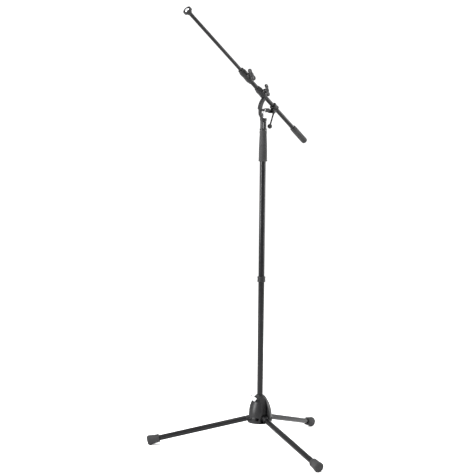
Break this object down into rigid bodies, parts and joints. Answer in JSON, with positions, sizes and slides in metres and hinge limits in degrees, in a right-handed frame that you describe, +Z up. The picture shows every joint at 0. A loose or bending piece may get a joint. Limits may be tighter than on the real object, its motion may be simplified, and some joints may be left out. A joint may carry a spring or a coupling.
{
  "type": "boom microphone stand",
  "caption": "Tripod floor stand with a one-hand clutch column, a swivelling sector head and a telescopic counterweighted boom for a microphone.",
  "frame": {"origin": "on the floor, under the axis of the column", "axes": "+Z up along the column, +X towards the microphone end of the boom"},
  "size_m": [0.7853, 0.7092, 1.588],
  "materials": {
    "casting_black": "semi-gloss black powder coat on die-cast metal",
    "tube_black": "glossy black lacquer on steel tube",
    "rubber_black": "matte dark grey rubber",
    "plastic_black": "satin black moulded plastic",
    "chrome": "bright chrome",
    "steel": "zinc-plated steel",
    "screw_black": "blackened steel",
    "nylon": "natural nylon",
    "brass": "plain brass"
  },
  "bodies": {
    "base": {"base_casting": "casting_black", "base_underplate": "casting_black", "underplate_screws": "steel", "leg_hinge_screws": "screw_black", "thumb_screw_pad": "brass", "column_tube": "tube_black", "column_collar_ring": "plastic_black", "clutch_body": "steel", "clutch_collet": "nylon", "clutch_ring": "plastic_black"},
    "clamp_screw": {"thumb_screw": "chrome"},
    "leg_left": {"leg_knuckle_left": "casting_black", "leg_tube_left": "tube_black", "foot_cap_left": "rubber_black"},
    "leg_front": {"leg_knuckle_front": "casting_black", "leg_tube_front": "tube_black", "foot_cap_front": "rubber_black"},
    "leg_back": {"leg_knuckle_back": "casting_black", "leg_tube_back": "tube_black", "foot_cap_back": "rubber_black"},
    "grip": {"clutch_grip": "rubber_black"},
    "mast": {"mast_tube": "chrome", "mast_foot_bush": "nylon", "neck_socket": "casting_black", "neck_bolt": "chrome", "swivel_nut": "chrome", "swivel_spring": "chrome"},
    "head": {"sector_bracket": "casting_black", "radius_arm": "casting_black", "arm_washer": "chrome", "arm_screw": "steel", "tilt_pin": "steel"},
    "lever": {"lever_hub": "casting_black", "lever_rod": "tube_black", "lever_ball": "plastic_black"},
    "carrier": {"rear_collar": "casting_black", "rear_collar_liner": "plastic_black", "boom_holder": "casting_black", "holder_liner": "plastic_black", "slider_pin": "steel"},
    "holder_wing": {"holder_knob": "plastic_black", "holder_knob_screw": "steel"},
    "boom": {"boom_outer_tube": "tube_black", "counterweight": "rubber_black", "counterweight_ring": "plastic_black", "telescope_clamp": "casting_black", "telescope_bush": "plastic_black"},
    "telescope_wing": {"telescope_knob": "plastic_black", "telescope_knob_screw": "steel"},
    "inner_boom": {"boom_inner_tube": "tube_black", "boom_inner_plug": "nylon", "tip_sleeve": "casting_black", "tip_stud": "chrome"},
    "tip_ring": {"tip_lock_ring": "plastic_black"}
  },
  "joints": [
    {"name": "leg_left_fold", "type": "hinge", "parent": "base", "child": "leg_left", "pos_m": [0.02446, -0.02362, 0.10983], "axis": [-0.6947, -0.7193, 0], "range_deg": [0, 103]},
    {"name": "leg_front_fold", "type": "hinge", "parent": "base", "child": "leg_front", "pos_m": [0.00822, 0.03299, 0.10983], "axis": [0.9703, -0.2419, 0], "range_deg": [0, 103]},
    {"name": "leg_back_fold", "type": "hinge", "parent": "base", "child": "leg_back", "pos_m": [-0.03268, -0.00937, 0.10983], "axis": [-0.2756, 0.9613, 0], "range_deg": [0, 103]},
    {"name": "clamp_screw_turn", "type": "hinge", "parent": "base", "child": "clamp_screw", "pos_m": [0.01067, 0.00306, 0.17402], "axis": [0.8913, 0.2556, 0.3746], "continuous": true},
    {"name": "grip_twist", "type": "hinge", "parent": "base", "child": "grip", "pos_m": [0, 0, 1.1], "axis": [0, 0, 1], "range_deg": [0, 60]},
    {"name": "height_slide", "type": "slide", "parent": "base", "child": "mast", "axis": [0, 0, 1], "range_m": [0, 0.55]},
    {"name": "boom_swivel", "type": "hinge", "parent": "mast", "child": "head", "pos_m": [0, 0, 1.2098], "axis": [0, 0, 1], "continuous": true},
    {"name": "boom_tilt", "type": "hinge", "parent": "head", "child": "carrier", "pos_m": [-0.043, 0, 1.2392], "axis": [0, -1, 0], "range_deg": [-15, 12]},
    {"name": "tilt_lever_turn", "type": "hinge", "parent": "head", "child": "lever", "pos_m": [-0.043, 0, 1.2392], "axis": [0, 1, 0], "range_deg": [-4, 60]},
    {"name": "holder_wing_turn", "type": "hinge", "parent": "carrier", "child": "holder_wing", "pos_m": [0.01285, 0, 1.30633], "axis": [-0.2448, 0.9135, 0.3248], "continuous": true},
    {"name": "boom_slide", "type": "slide", "parent": "carrier", "child": "boom", "axis": [0.7986, 0, 0.6018], "range_m": [-0.03, 0.105]},
    {"name": "telescope_wing_turn", "type": "hinge", "parent": "boom", "child": "telescope_wing", "pos_m": [0.08872, 0, 1.3635], "axis": [-0.1045, 0.9848, 0.1387], "continuous": true},
    {"name": "telescope_slide", "type": "slide", "parent": "boom", "child": "inner_boom", "axis": [0.7986, 0, 0.6018], "range_m": [-0.22, 0.094]},
    {"name": "tip_ring_turn", "type": "hinge", "parent": "inner_boom", "child": "tip_ring", "pos_m": [0.36664, 0, 1.57293], "axis": [0.7986, 0, 0.6018], "continuous": true}
  ]
}
